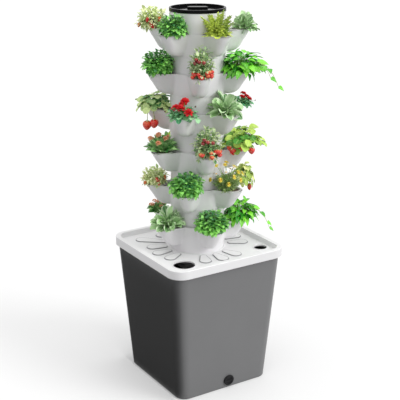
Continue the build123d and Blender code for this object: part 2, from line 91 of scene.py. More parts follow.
# Crop in each cup, its width and height against the plain one, and how far it leans out and to the left in
# mm, from the bottom tier up
tier_crops = (
    (("tomato", 0.9, 0.9, 4, 0), ("kalanchoe", 0.92, 0.85, 14, 12), ("sage", 1.3, 1.3, -2, 6),
     ("herb", 1.2, 1.12, 0, 0), ("trailing", 1.0, 1.05, 3, 5)),
    (("strawberry", 0.75, 0.95, 32, -30), ("lettuce", 0.8, 0.8, 4, 0), ("chilli", 0.9, 0.9, 8, 0),
     ("herb", 1.2, 1.15, 0, 2), ("daisy", 1.0, 1.0, -4, -16)),
    (("sage", 0.9, 0.9, 4, 0), ("seedling", 1.0, 1.0, 0, 0), ("kalanchoe", 1.18, 1.22, 3, 0),
     ("tomato", 1.2, 1.12, 0, 0), ("strawberry", 1.4, 1.15, 12, 0)),
    (("chilli", 0.8, 0.8, 4, 0), ("strawberry", 1.15, 0.95, 8, 0), ("geranium", 1.08, 0.95, 0, 8),
     ("sage", 1.26, 1.5, -8, -10), ("geranium", 0.76, 0.64, 22, -20)),
    (("seedling", 1.0, 1.0, 0, 0), ("seedling", 1.0, 1.0, 0, 0), ("herb", 1.18, 1.15, 0, 0),
     ("tomato", 1.08, 1.08, 0, 5), ("trailing", 1.14, 1.08, 2, 8)),
    (("seedling", 1.0, 1.0, 0, 0), ("chilli", 1.0, 1.10, 24, 0), ("herb", 0.96, 1.05, -4, 10),
     ("lettuce", 1.0, 1.0, -2, -3), ("sage", 0.84, 1.15, 20, 0)),
)
cups_per_tier = 5
first_seed = 1000
flange_band = 0.0005

# Place where every stem starts and how it bows on its way to its tip, and the turn from one leaf to the next
root = np.array([0.0, 0.0, -0.003])
stem_bow = np.array([0.35, 0.35, 0.75])
golden_angle = pi * (3 - 5 ** 0.5)

# Half width left at a leaf's ends, and the radians of its ripple along it and for each radian of its heading
least_width = 0.04
ripple_pace, ripple_shift = 9, 4

white, black = (1, 1, 1), (0, 0, 0)


class Socket:
    """A shader value with arithmetic: each operator adds one Math node to its finish."""

    def __init__(self, finish, output):
        self.finish = finish
        self.output = output

    def also(self, name):
        """Another output of the same node."""
        return Socket(self.finish, self.output.node.outputs[name])

    def __add__(self, other):
        return self.finish.math("ADD", self, other)

    def __radd__(self, other):
        return self.finish.math("ADD", other, self)

    def __sub__(self, other):
        return self.finish.math("SUBTRACT", self, other)

    def __rsub__(self, other):
        return self.finish.math("SUBTRACT", other, self)

    def __mul__(self, other):
        return self.finish.math("MULTIPLY", self, other)

    def __truediv__(self, other):
        return self.finish.math("DIVIDE", self, other)

    def __pow__(self, other):
        return self.finish.math("POWER", self, other)

    def __abs__(self):
        return self.finish.math("ABSOLUTE", self)


class Finish:
    """A material or sky in the making, with one method that adds any node and returns an output of it."""

    def __init__(self, name, home=bpy.data.materials, shader="Principled BSDF"):
        self.material = home.new(name)
        self.material.use_nodes = True
        self.tree = self.material.node_tree
        self.shader = self.tree.nodes[shader]

    def join(self, socket, value):
        """Link a Socket to an input, or set the input's own value, where a colour gets full alpha."""
        if isinstance(value, Socket):
            self.tree.links.new(value.output, socket)
        else:
            socket.default_value = (*value, 1.0) if socket.type == "RGBA" else value

    def node(self, kind, settings=None, sockets=None, output=0):
        """Add a node, set its settings first and its sockets after, and return one of its outputs."""
        made = self.tree.nodes.new(kind)
        for name, value in (settings or {}).items():
            setattr(made, name, value)
        for name, value in (sockets or {}).items():
            self.join(made.inputs[name], value)
        return Socket(self, made.outputs[output])

    def math(self, operation, first, second=0.0):
        """Result of one Math node."""
        return self.node("ShaderNodeMath", {"operation": operation}, {0: first, 1: second})

    def place(self):
        """Object coordinates."""
        return self.node("ShaderNodeTexCoord", output="Object")

    def uv(self):
        """Share of the way along a blade or fruit, and the share across or round it."""
        along = self.node("ShaderNodeSeparateXYZ", None, {"Vector": self.node("ShaderNodeUVMap")})
        return along, along.also("Y")

    def own(self, name):
        """Value that the points of the mesh carry under a name."""
        return self.node("ShaderNodeAttribute", {"attribute_name": name}, output="Fac")

    def noise(self, scale, detail, stretch=None):
        """Noise from 0 to 1 over the object, stretched along its axes where that is asked for."""
        place = self.place()
        if stretch:
            place = self.node("ShaderNodeMapping", None, {"Vector": place, "Scale": stretch})
        return self.node("ShaderNodeTexNoise", None, {"Vector": place, "Scale": scale, "Detail": detail})

    def cells(self, scale):
        """Distance from the nearest of many points strewn over the object."""
        return self.node("ShaderNodeTexVoronoi", None, {"Vector": self.place(), "Scale": scale})

    def ramp(self, factor, *stops):
        """Blend along a factor between two stops, each a place and a colour."""
        blend = self.node("ShaderNodeValToRGB", None, {"Fac": factor})
        for element, (place, colour) in zip(blend.output.node.color_ramp.elements, stops):
            element.position = place
            element.color = (*colour, 1.0)
        return blend

    def mix(self, factor, first, second):
        """Blend of two colours."""
        sockets = {"Factor": factor, 6: first, 7: second}
        return self.node("ShaderNodeMix", {"data_type": "RGBA"}, sockets, output=2)

    def bump(self, height, depth):
        """Relief of the surface, in metres."""
        self.set(normal=self.node("ShaderNodeBump", None, {"Height": height, "Distance": depth}))

    def set(self, **sockets):
        """Set the surface shader's sockets, named in lower case."""
        for name, value in sockets.items():
            self.join(self.shader.inputs[name.replace("_", " ").title().replace("Ior", "IOR")], value)
        return self.material


def scaled(colour, share):
    """Colour made lighter or darker."""
    return tuple(channel * share for channel in colour)


def moulded(name, colour, roughness, grain, relief, speck=0.03, specular=0.5, shade=None):
    """Moulded plastic: a fine grain in the relief, and faint clouds in its colour and gloss."""
    finish = Finish(name)
    cloud = finish.noise(scale=9.0, detail=4.0)
    finish.bump(finish.noise(grain, detail=2.0), relief)
    tone = finish.ramp(cloud, (0.3, scaled(colour, 1 - speck)), (0.7, scaled(colour, 1 + speck)))
    return finish.set(
        base_color=shade(finish, tone) if shade else tone,
        roughness=roughness + (cloud - 0.5) * 0.12,
        specular_ior_level=specular,
    )


def painted_pad_shade(finish, colour):
    """Colour of the lid with painted shade: a dark line painted along the foot of each pad, where its raised
    edge is in shade.

    About the tower's axis a pad lies along its own ray, between two round ends. Where t is the share of the
    way from its near end to its far one, held between 0 and 1, a point p is |p - p(t)| - r(t) from its edge.
    """
    half_step = pi / pad_count
    x = finish.node("ShaderNodeSeparateXYZ", None, {"Vector": finish.place()})
    y = x.also("Y")
    angle = finish.math("ARCTAN2", y, x)
    off_ray = finish.math("PINGPONG", angle, half_step)
    corner = finish.math("GREATER_THAN", finish.math("PINGPONG", angle, pi / 4), pi / 4 - half_step)
    back = finish.math("GREATER_THAN", y)
    radius = (x * x + y * y) ** 0.5
    along = radius * finish.math("COSINE", off_ray) - pad_near
    across = radius * finish.math("SINE", off_ray)
    reach = corner * (pad_corner_far - pad_far) + (pad_far - pad_near)
    share = finish.node("ShaderNodeClamp", None, {"Value": along / reach})
    beyond = along - share * reach
    half = share * (pad_far_half - pad_near_half) + pad_near_half
    gap = (beyond * beyond + across * across) ** 0.5 - half
    # Painted shade: a dark line on each pad's edge, fading out over its width, left out by the two front
    # corners
    line = finish.ramp(abs(gap) / pad_shade_width, (0.35, white), (1.0, black))
    return finish.mix(line * (1 - corner * (1 - back)), colour, pad_shade_colour)


def foam(name, colour):
    """Open-cell sponge: pale struts, with the pores darkened as painted shade in their hollows."""
    finish = Finish(name)
    cells = finish.cells(scale=900.0)
    finish.bump(cells, depth=0.0006)
    # Dark pores: painted shade in the hollows of the sponge
    tone = finish.ramp(cells, (0.1, scaled(colour, 0.3)), (0.5, colour))
    return finish.set(base_color=tone, roughness=0.95)


def metal(name, colour, roughness):
    """Ground metal with fine marks round its axis."""
    finish = Finish(name)
    marks = finish.noise(scale=260.0, detail=2.0, stretch=(1, 0.05, 1))
    finish.bump(marks, depth=0.00002)
    return finish.set(base_color=colour, metallic=1.0, roughness=roughness + marks * 0.15)


# Finishes of the solids, by the record's slots and one for the lid. A moulded one gives its colour, its
# roughness, and the scale and depth of its grain, then its speck and its specular level if they are unusual.
slot_finishes = {
    "sponge_brown": foam("sponge_brown", (0.16, 0.11, 0.07)),
    "shaft_steel": metal("shaft_steel", (0.6, 0.6, 0.62), 0.22),
}
for name, *looks in (
    ("tank_grey", (0.172, 0.173, 0.176), 0.45, 1400.0, 0.00003),
    ("shell_white", (0.83, 0.815, 0.835), 0.36, 1100.0, 0.00002, 0.012),
    # The lid's finish adds the painted shade lines along its pads
    ("lid_white", (0.82, 0.815, 0.823), 0.36, 1100.0, 0.00002, 0.012, 0.5, painted_pad_shade),
    ("cover_black", (0.004, 0.004, 0.0045), 0.07, 500.0, 0.000002, 0.03, 0.06),
    ("rubber_black", (0.008, 0.008, 0.009), 0.6, 2200.0, 0.00004, 0.03, 0.25),
    ("pot_white", (0.72, 0.72, 0.70), 0.45, 1300.0, 0.00003),
    ("pipe_white", (0.74, 0.74, 0.74), 0.38, 900.0, 0.00002),
    ("pump_black", (0.03, 0.03, 0.033), 0.5, 1500.0, 0.00004),
    ("magnet_grey", (0.10, 0.10, 0.105), 0.55, 1800.0, 0.00005),
):
    slot_finishes[name] = moulded(name, *looks)
for part in frame["record"]["subparts"]:
    slot = "lid_white" if part["node"] == "tank_lid" else part["material_slot"]
    if slot in slot_finishes:
        solid = frame["nodes"][part["node"]].data
        solid.materials.clear()
        solid.materials.append(slot_finishes[slot])


def leaf_finish(name, young, old, rib, underside, gloss=0.45, rim=None):
    """Leaf: from young to old colour by its tint, with a pale rib, side veins and a paler underside."""
    rib_share, vein_share, below_share = 0.5, 0.175, 0.7
    vein_slant, vein_pace = 0.22, 52.0
    finish = Finish(name)
    along, across = finish.uv()
    off_rib = abs(across - 0.5) * 2
    cloud = finish.noise(scale=160.0, detail=3.0)
    blade = finish.ramp(finish.own("tint") + (cloud - 0.5) * 0.45, (0.22, young), (0.78, old))
    if rim:
        edge = finish.ramp(off_rib + (cloud - 0.5) * 0.7, (0.5, black), (0.78, white))
        blade = finish.mix(edge, blade, rim)
    midrib = finish.ramp(off_rib, (0.04, white), (0.16, black))
    slant = finish.math("SINE", (along - off_rib * vein_slant) * vein_pace)
    veins = finish.ramp(slant, (0.80, black), (0.98, white))
    blade = finish.mix(midrib * rib_share, blade, rib)
    blade = finish.mix(veins * vein_share, blade, rib)
    blade = finish.mix(finish.own("below") * below_share, blade, underside)
    finish.bump(midrib * 0.6 + veins * 0.3, depth=0.0004)
    return finish.set(base_color=blade, roughness=gloss + cloud * 0.12)


def petal_finish(name, foot, edge):
    """Petal: one colour near its foot, another at its edge, with fine streaks along it."""
    finish = Finish(name)
    along, across = finish.uv()
    streak = finish.math("SINE", across * 40.0)
    share = along + (finish.own("tint") - 0.5) * 0.6 + streak * 0.06
    finish.bump(streak, depth=0.0001)
    return finish.set(base_color=finish.ramp(share, (0.1, foot), (0.85, edge)), roughness=0.5)


def fruit_finish(name, unripe, ripe, gloss=0.22, pip=None):
    """Fruit skin: paler at the stalk, ripe towards its tip, glossy, with pips in pits where it has any."""
    finish = Finish(name)
    along = finish.uv()[0]
    cloud = finish.noise(scale=120.0, detail=2.0)
    share = along * 0.5 + finish.own("tint") * 0.6 + (cloud - 0.5) * 0.3
    skin = finish.ramp(share, (0.12, unripe), (0.6, ripe))
    if pip:
        cells = finish.cells(scale=330.0)
        skin = finish.mix(finish.ramp(cells, (0.16, white), (0.24, black)), skin, pip)
        finish.bump(finish.ramp(cells, (0.2, black), (0.5, white)), depth=0.0006)
    else:
        finish.bump(cloud, depth=0.0001)
    return finish.set(base_color=skin, roughness=gloss + cloud * 0.08, coat_weight=0.25)


def stem_finish(name, low, high):
    """Stem: streaked along its length."""
    finish = Finish(name)
    streaks = finish.noise(scale=220.0, detail=3.0, stretch=(1, 1, 0.15))
    finish.bump(streaks, depth=0.0002)
    return finish.set(base_color=finish.ramp(streaks, (0.3, low), (0.7, high)), roughness=0.55)


# Finishes of the crops. A leaf gives its young and old colour, rib and underside, then its gloss and rim; a
# petal its foot and edge; a fruit its unripe and ripe colour, gloss and pips; a stem the colours of streaks.
crop_looks = {
    leaf_finish: (
        ("herb_leaf", (0.32, 0.80, 0.15), (0.026, 0.21, 0.055), (0.38, 0.66, 0.26), (0.26, 0.56, 0.19), 0.25),
        ("lettuce_leaf", (0.74, 0.88, 0.14), (0.17, 0.33, 0.03), (0.76, 0.84, 0.30), (0.62, 0.74, 0.20)),
        ("sage_leaf", (0.54, 0.82, 0.40), (0.060, 0.24, 0.045), (0.66, 0.80, 0.54), (0.48, 0.70, 0.36), 0.42,
         (0.78, 0.93, 0.66)),
        ("chilli_leaf", (0.90, 0.98, 0.56), (0.52, 0.80, 0.26), (0.88, 0.93, 0.60), (0.80, 0.88, 0.52)),
        ("tomato_leaf", (0.74, 0.86, 0.50), (0.070, 0.29, 0.06), (0.70, 0.80, 0.48), (0.62, 0.74, 0.44)),
        ("trailing_leaf", (0.26, 0.84, 0.05), (0.012, 0.28, 0.010), (0.40, 0.82, 0.16), (0.24, 0.62, 0.12),
         0.28),
        ("strawberry_leaf", (0.70, 0.86, 0.36), (0.045, 0.25, 0.050), (0.56, 0.70, 0.34), (0.48, 0.62, 0.34)),
        ("bright_leaf", (0.60, 0.82, 0.14), (0.08, 0.35, 0.035), (0.56, 0.74, 0.24), (0.40, 0.60, 0.18)),
        ("pale_leaf", (0.86, 0.90, 0.34), (0.42, 0.64, 0.10), (0.86, 0.90, 0.48), (0.78, 0.84, 0.42)),
        ("geranium_leaf", (0.40, 0.78, 0.40), (0.045, 0.33, 0.13), (0.42, 0.68, 0.38), (0.38, 0.62, 0.36)),
        ("kalanchoe_leaf", (0.54, 0.90, 0.36), (0.020, 0.20, 0.030), (0.44, 0.70, 0.30), (0.36, 0.60, 0.26),
         0.24),
        ("daisy_leaf", (0.54, 0.70, 0.28), (0.14, 0.30, 0.07), (0.46, 0.60, 0.24), (0.38, 0.50, 0.22)),
    ),
    petal_finish: (
        ("red_petal", (0.74, 0.008, 0.020), (0.99, 0.070, 0.085)),
        ("salmon_petal", (0.96, 0.36, 0.16), (0.99, 0.56, 0.34)),
        ("yellow_petal", (0.94, 0.64, 0.03), (0.97, 0.86, 0.12)),
        ("white_petal", (0.86, 0.86, 0.78), (0.94, 0.94, 0.92)),
        ("flower_heart", (0.66, 0.34, 0.01), (0.90, 0.56, 0.04)),
    ),
    fruit_finish: (
        ("tomato_skin", (0.90, 0.42, 0.12), (0.72, 0.03, 0.012)),
        ("dark_tomato_skin", (0.50, 0.04, 0.02), (0.24, 0.004, 0.006)),
        ("chilli_skin", (0.80, 0.22, 0.02), (0.68, 0.016, 0.01)),
        ("berry_skin", (0.90, 0.22, 0.06), (0.78, 0.010, 0.012), 0.22, (0.84, 0.50, 0.12)),
        ("bud_skin", (0.05, 0.10, 0.03), (0.10, 0.02, 0.02), 0.5),
    ),
    stem_finish: (
        ("green_stem", (0.12, 0.30, 0.05), (0.26, 0.44, 0.10)),
        ("pale_stem", (0.40, 0.46, 0.14), (0.56, 0.58, 0.24)),
    ),
}
crop_finishes = {looks[0]: make(*looks) for make, kinds in crop_looks.items() for looks in kinds}


def put(name, data):
    """New object in the scene."""
    made = bpy.data.objects.new(name, data)
    bpy.context.scene.collection.objects.link(made)
    return made


def each(value, count):
    """One value for each of a number of copies, from one for all of them or from a list."""
    return np.broadcast_to(np.asarray(value, float), (count,))


class Crop:
    """Points, faces, UVs and tints of one crop, gathered as whole arrays and made into one mesh."""

    def __init__(self):
        self.batches = []

    def add(self, points, faces, uv, finish, tint=0.5, below=0.0):
        """Add N copies of a shape: points is (N, P, 3), faces lists corner arrays and uv is (P, 2)."""
        self.batches.append((points, faces, uv, finish, each(tint, len(points)), below))

    def piece(self, name, scale, lean, turn, place):
        """Make the mesh object: sized, moved by its lean, turned about Z and moved to its cup."""
        finishes = sorted({batch[3] for batch in self.batches})
        gathered = [[] for kind in range(7)]
        points, uvs, tints, belows, corners, totals, slots = gathered
        start = 0
        for shape, faces, uv, finish, tint, below in self.batches:
            count, size = shape.shape[:2]
            points.append(shape.reshape(-1, 3))
            uvs.append(np.tile(uv, (count, 1)))
            tints.append(np.repeat(tint, size))
            belows.append(np.full(count * size, below))
            for face in faces:
                ring = start + np.arange(count)[:, None, None] * size + face[None]
                corners.append(ring.ravel())
                totals.append(np.full(count * len(face), face.shape[1]))
                slots.append(np.full(count * len(face), finishes.index(finish)))
            start += count * size
        points, uvs, tints, belows, corners, totals, slots = map(np.concatenate, gathered)
        spin = np.array([[cos(turn), -sin(turn), 0], [sin(turn), cos(turn), 0], [0, 0, 1]])
        points = (points * scale + lean) @ spin.T + np.asarray(place)
        mesh = bpy.data.meshes.new(name)
        mesh.vertices.add(len(points))
        mesh.vertices.foreach_set("co", points.astype(np.float32).ravel())
        mesh.loops.add(len(corners))
        mesh.loops.foreach_set("vertex_index", corners.astype(np.int32))
        mesh.polygons.add(len(totals))
        mesh.polygons.foreach_set("loop_start", (np.cumsum(totals) - totals).astype(np.int32))
        mesh.polygons.foreach_set("loop_total", totals.astype(np.int32))
        mesh.polygons.foreach_set("material_index", slots.astype(np.int32))
        mesh.polygons.foreach_set("use_smooth", np.ones(len(totals), bool))
        mesh.update(calc_edges=True)
        mesh.uv_layers.new(name="UVMap").data.foreach_set("uv", uvs[corners].astype(np.float32).ravel())
        for label, values in (("tint", tints), ("below", belows)):
            attribute = mesh.attributes.new(label, "FLOAT", "POINT")
            attribute.data.foreach_set("value", values.astype(np.float32))
        for finish in finishes:
            mesh.materials.append(crop_finishes[finish])
        return put(name, mesh)


def unit(vectors):
    """Vectors of length one."""
    return vectors / np.linalg.norm(vectors, axis=-1, keepdims=True)


def polar(reach, angle, height):
    """Points at a reach from the Z axis, an angle round it and a height."""
    return np.stack(np.broadcast_arrays(reach * np.cos(angle), reach * np.sin(angle), height), -1)


def turned(first, second, angle):
    """The first of two directions turned towards the second, which is square to it."""
    return first * np.cos(angle) + second * np.sin(angle)


def spokes(axis, angle, aslant):
    """Directions square to each axis, at angles round it from the one that is square to aslant too."""
    side = unit(np.cross(axis, np.array(aslant)))
    return turned(side[..., None, :], np.cross(axis, side)[..., None, :], angle[..., None])


def bowed(start, bend, end, t):
    """Points (1-t)^2 start + 2t(1-t) bend + t^2 end of a bowed line."""
    return (1 - t) ** 2 * start + 2 * t * (1 - t) * bend + t ** 2 * end


def full_turn(count):
    """Even angles round a circle."""
    return np.linspace(0, 2 * pi, count, endpoint=False)


def spiral(rng, count, shape=None):
    """Angles that step by the golden angle from a random start."""
    return golden_angle * np.arange(count) + rng.uniform(0, 2 * pi, shape)


def varied(rng, middle, spread, count):
    """Random tints from 0 to 1."""
    return np.clip(rng.normal(middle, spread, count), 0, 1)


def oval(t, belly=0.42, point=0.9):
    """Half width of a leaf along it: a sine of a power of t, widest at the share belly, drawn to a point."""
    power = np.log(0.5) / np.log(belly)
    return np.maximum(least_width, np.sin(pi * t ** power) ** point)


def round_leaf(t):
    """Half width of a round leaf: full for most of its length."""
    return oval(t, 0.56, 0.55)


def lance(t):
    """Half width of a long leaf, widest past its middle."""
    return oval(t, 0.58, 0.8)


def heart(t):
    """Half width of a heart-shaped leaf: broad close to its stalk, then a long taper to its point."""
    return np.maximum(least_width, np.minimum(1, (t / 0.16) ** 0.5) * (1 - t ** 1.5) ** 0.9)


def toothed(t):
    """Half width of a round leaflet with a saw edge of five teeth."""
    return np.maximum(0.05, oval(t, 0.52, 0.55) * (0.90 + 0.10 * np.abs(np.sin(5 * pi * t))))


def petal_width(t):
    """Half width of a petal: narrow at its foot, broad and round at its end."""
    return np.maximum(0.08, oval(t, 0.66, 0.7))


def sheet_faces(rows, columns):
    """Four-cornered faces of a grid of points, row by row."""
    index = np.arange(rows * columns).reshape(rows, columns)
    return np.stack([index[:-1, :-1], index[1:, :-1], index[1:, 1:], index[:-1, 1:]], -1).reshape(-1, 4)


def blades(crop, finish, base, way, length, slim, droop, fold, shape=oval, rows=6, columns=3, wave=0.0,
           roll=0.0, tint=0.5, thick=0.0004, face=None):
    """Leaf or petal blades, slim times as wide as they are long.

    A midrib leaves its base the given way and bends down steadily, its pitch falling by droop along its
    length. Across it a point stands off by v in -1..1 times the half width shape(t), lifted towards the
    margins by the fold angle and by a ripple. An upper and an under sheet meet at the margins and part by the
    thickness along the rib. Where face is given, each blade is rolled about its midrib until its upper side
    looks that way.
    """
    count = len(base)
    way = unit(way)
    length, width, droop, fold, roll = (
        each(value, count)[:, None] for value in (length, length * slim, droop, fold, roll)
    )
    t, v = np.linspace(0, 1, rows), np.linspace(-1, 1, columns)
    heading = np.arctan2(way[:, 1], way[:, 0])[:, None]
    pitch = np.arcsin(np.clip(way[:, 2], -1, 1))[:, None] - droop * t
    tangent = polar(np.cos(pitch), heading, np.sin(pitch))
    step = (tangent[:, 1:] + tangent[:, :-1]) / 2 * (length / (rows - 1))[..., None]
    rib = base[:, None] + np.concatenate([np.zeros((count, 1, 3)), np.cumsum(step, 1)], 1)
    side = np.stack([-np.sin(heading), np.cos(heading), np.zeros_like(heading)], -1)
    normal = np.cross(tangent, side)
    if face is not None:
        roll = roll + np.arctan2(-(side * face[:, None]).sum(-1), (normal * face[:, None]).sum(-1))[:, :1]
    turn = roll[..., None]
    side, normal = turned(side, normal, turn), turned(normal, -side, turn)
    half = (shape(t) * width / 2)[:, :, None] * v
    ripple = np.sin(ripple_pace * t + ripple_shift * heading)[:, :, None]
    ripple = wave * ripple * np.abs(v) * width[..., None]
    rise = np.abs(half) * np.sin(fold)[..., None] + ripple
    sheet = rib[:, :, None] + side[:, :, None] * (half * np.cos(fold)[..., None])[..., None]
    sheet = sheet + normal[:, :, None] * rise[..., None]
    part = thick * (shape(t)[:, None] - least_width) * (1 - np.abs(v))
    lift = normal[:, :, None] * part[None, :, :, None]
    uv = np.stack(np.meshgrid(t, (v + 1) / 2, indexing="ij"), -1).reshape(-1, 2)
    faces = sheet_faces(rows, columns)
    crop.add((sheet + lift).reshape(count, -1, 3), [faces], uv, finish, tint, 0.0)
    crop.add((sheet - lift).reshape(count, -1, 3), [faces[:, ::-1]], uv, finish, tint, 1.0)


def tubes(crop, finish, rings, ends, t, tint=0.5):
    """Tubes from their rings of points, (N, rows, sides, 3), closed by a fan on the point at either end."""
    count, rows, sides = rings.shape[:3]
    index = np.arange(rows * sides).reshape(rows, sides)
    after = np.roll(index, -1, axis=1)
    walls = np.stack([index[:-1], after[:-1], after[1:], index[1:]], -1).reshape(-1, 4)
    first, last = rows * sides, rows * sides + 1
    start = np.stack([np.full(sides, first), after[0], index[0]], -1)
    end = np.stack([np.full(sides, last), index[-1], after[-1]], -1)
    around, along = np.meshgrid(np.arange(sides) / sides, t)
    uv = np.concatenate([np.stack([along, around], -1).reshape(-1, 2), [[0, 0], [1, 0]]])
    points = np.concatenate([rings.reshape(count, -1, 3), ends], 1)
    crop.add(points, [walls, np.concatenate([start, end])], uv, finish, tint)


def stalks(crop, finish, start, bend, end, thick, thin, rows=7, sides=5):
    """Round stalks along bowed lines, tapering from the thick radius to the thin one."""
    start, bend, end = (np.broadcast_to(point, end.shape)[:, None] for point in (start, bend, end))
    t = np.linspace(0, 1, rows)[:, None]
    line = bowed(start, bend, end, t)
    tangent = unit(2 * (1 - t) * (bend - start) + 2 * t * (end - bend) + 1e-9)
    radius = (thick + (thin - thick) * t)[..., None]
    rings = line[:, :, None] + spokes(tangent, full_turn(sides), (0.31, 0.17, 0.93)) * radius
    tubes(crop, finish, rings, line[:, [0, -1]], t[:, 0])


def wood(crop, finish, tips, thick=0.0013, thin=0.0006):
    """Stems from the root out to the tips, bowed upwards."""
    bend = root + (tips - root) * stem_bow
    stalks(crop, finish, root, bend, tips, thick, thin)


def fruits(crop, finish, place, way, length, radius, plump, rows=9, sides=12, tint=0.5):
    """Fruits of revolution hung from place along way: radius times sin(pi t ^ p) ^ 0.6.

    The power p sets where the fruit is plumpest: plump 0.5 of its length for a ball, less for a berry.
    """
    count = len(place)
    way = unit(np.broadcast_to(np.asarray(way, float), (count, 3)))
    length, radius = each(length, count)[:, None], each(radius, count)[:, None]
    t = np.linspace(0.02, 0.98, rows)
    profile = np.sin(pi * t ** (np.log(0.5) / np.log(plump))) ** 0.6
    axis = place[:, None] + way[:, None] * (t * length)[..., None]
    outward = spokes(way, full_turn(sides), (0.37, 0.81, 0.11))
    rings = axis[:, :, None] + outward[:, None] * (profile * radius)[:, :, None, None]
    tubes(crop, finish, rings, np.stack([place, place + way * length], 1), t, tint)


def rosettes(crop, finish, centres, ways, rings, length, slim, tint, fold, droop):
    """Flower heads: rings of petals round each centre, the outer rings open and the inner ones closing up.

    Each ring is (number of petals, opening angle from the flower's axis, share of the full length).
    """
    ways = unit(ways)
    for number, opening, share in rings:
        outward = spokes(ways, full_turn(number) + opening * 3, (0.21, 0.93, 0.31))
        way = turned(ways[:, None], outward, opening)
        base = np.broadcast_to(centres[:, None], way.shape).reshape(-1, 3)
        blades(crop, finish, base, way.reshape(-1, 3), length * share, slim, droop, fold, shape=petal_width,
               rows=5, tint=np.repeat(tint, number), thick=0.0003)


def dome_tips(rng, count, centre, spread, rise, fall, jitter=0.16):
    """Points over a dome: a spiral in even steps of height from -fall to the top, pushed in and out."""
    height = np.linspace(-fall, 0.98, count)
    angle = spiral(rng, count)
    reach = 1 + rng.uniform(-jitter, jitter, count)
    offset = polar(spread * np.sqrt(1 - height ** 2), angle, rise * height)
    return np.asarray(centre) + offset * reach[:, None]


def sprigs(crop, rng, stem, tips, count, start, wide, close, thick=0.0013, thin=0.0006):
    """Stems out to the tips, and leaves set round them in a spiral, open wide low down and close at the tip.

    Returns the leaves' feet, the ways they point, and their share of the height of the sprig, all flattened.
    """
    wood(crop, stem, tips, thick, thin)
    share = np.linspace(start, 1, count)
    run = tips - root
    axis = unit(run)
    angle = spiral(rng, count, (len(tips), 1))
    opening = wide + (close - wide) * (share - start) / (1 - start) + rng.normal(0, 0.16, angle.shape)
    way = turned(axis[:, None], spokes(axis, angle, (0.43, 0.12, 0.9)), opening[..., None])
    place = root + run[:, None] * share[None, :, None]
    return place.reshape(-1, 3), way.reshape(-1, 3), np.broadcast_to(share, angle.shape).ravel()


def fan(rng, count, widest, inner=0.0, power=0.5):
    """Ways up and out from a crown in a spiral, the lean growing as a power of the step."""
    lean = np.linspace(inner, 1, count) ** power * widest
    return polar(np.sin(lean), spiral(rng, count), np.cos(lean)), lean


def shingled(rng, tips, centre, sway, lift):
    """Ways and faces of leaves that lie over a dome: each points down it, swayed aside and lifted off it."""
    out = unit(tips - np.asarray(centre))
    down = unit(out * out[:, 2:] - np.array([0.001, 0, 1]))
    angle = rng.normal(0, sway, (len(tips), 1))
    return turned(down, np.cross(out, down), angle) + out * lift, out


def star(crop, rng, places, size=0.006):
    """Five-pointed green calyx and a short stalk on top of each fruit."""
    count = len(places)
    angle = np.arange(5) * 2 * pi / 5 + rng.uniform(0, 2 * pi, (count, 1))
    base = np.repeat(places + np.array([0, 0, 0.0003]), 5, axis=0)
    way = polar(1, angle, 0.25).reshape(-1, 3)
    blades(crop, "tomato_leaf", base, way, size, slim=0.32, droop=1.1, fold=0.2, rows=4, tint=0.2)
    rise = np.stack([rng.normal(0, 0.003, count), rng.normal(0, 0.003, count), np.full(count, 0.010)], -1)
    stalks(crop, "green_stem", places, places + rise * 0.6, places + rise, 0.0007, 0.0005, rows=4)


def herb(crop, rng):
    """Dense cushion of small oval leaves: dark on top with pale young tips, brighter near the cup."""
    tips = dome_tips(rng, 46, (0, 0, 0.020), spread=0.034, rise=0.030, fall=0.38)
    place, way, share = sprigs(crop, rng, "green_stem", tips, 13, start=0.5, wide=1.35, close=0.7)
    height = np.clip(place[:, 2] / 0.045, 0, 1)
    tint = varied(rng, 0.05 + height * 0.85 - (share > 0.95) * 0.35, 0.34, len(place))
    length = rng.uniform(0.011, 0.016, len(place)) * (1.15 - 0.35 * height)
    blades(crop, "herb_leaf", place, way, length, slim=0.76, droop=0.7, fold=0.3, tint=tint, wave=0.03)


def lettuce(crop, rng):
    """Upright tapering fronds set with small frilled leaves, olive on the left, over broad bright leaves."""
    fronds, leaves, broad = 17, 30, 20
    way, lean = fan(rng, fronds, widest=0.9)
    tips = root + way * (rng.uniform(0.056, 0.072, fronds) * (1.0 - 0.10 * lean))[:, None]
    place, way, share = sprigs(crop, rng, "pale_stem", tips, leaves, start=0.15, wide=1.15, close=0.3,
                               thick=0.0016)
    length = rng.uniform(0.013, 0.017, len(place)) * (1.35 - 0.85 * share)
    olive = varied(rng, 0.32 + 13 * tips[:, 1], 0.16, fronds)
    tint = varied(rng, np.repeat(olive, leaves), 0.12, len(place))
    blades(crop, "lettuce_leaf", place, way, length, slim=0.72, droop=0.5, fold=0.4, rows=7, columns=5,
           wave=0.08, tint=tint)
    way, lean = fan(rng, broad, widest=1.35, inner=0.35)
    base = root + way * np.array([0.014, 0.014, 0.002])
    length = rng.uniform(0.024, 0.034, broad)
    blades(crop, "lettuce_leaf", base, way, length, slim=0.6, droop=0.5, fold=0.3, shape=toothed, rows=13,
           columns=7, wave=0.09, tint=varied(rng, 0.12, 0.12, broad))


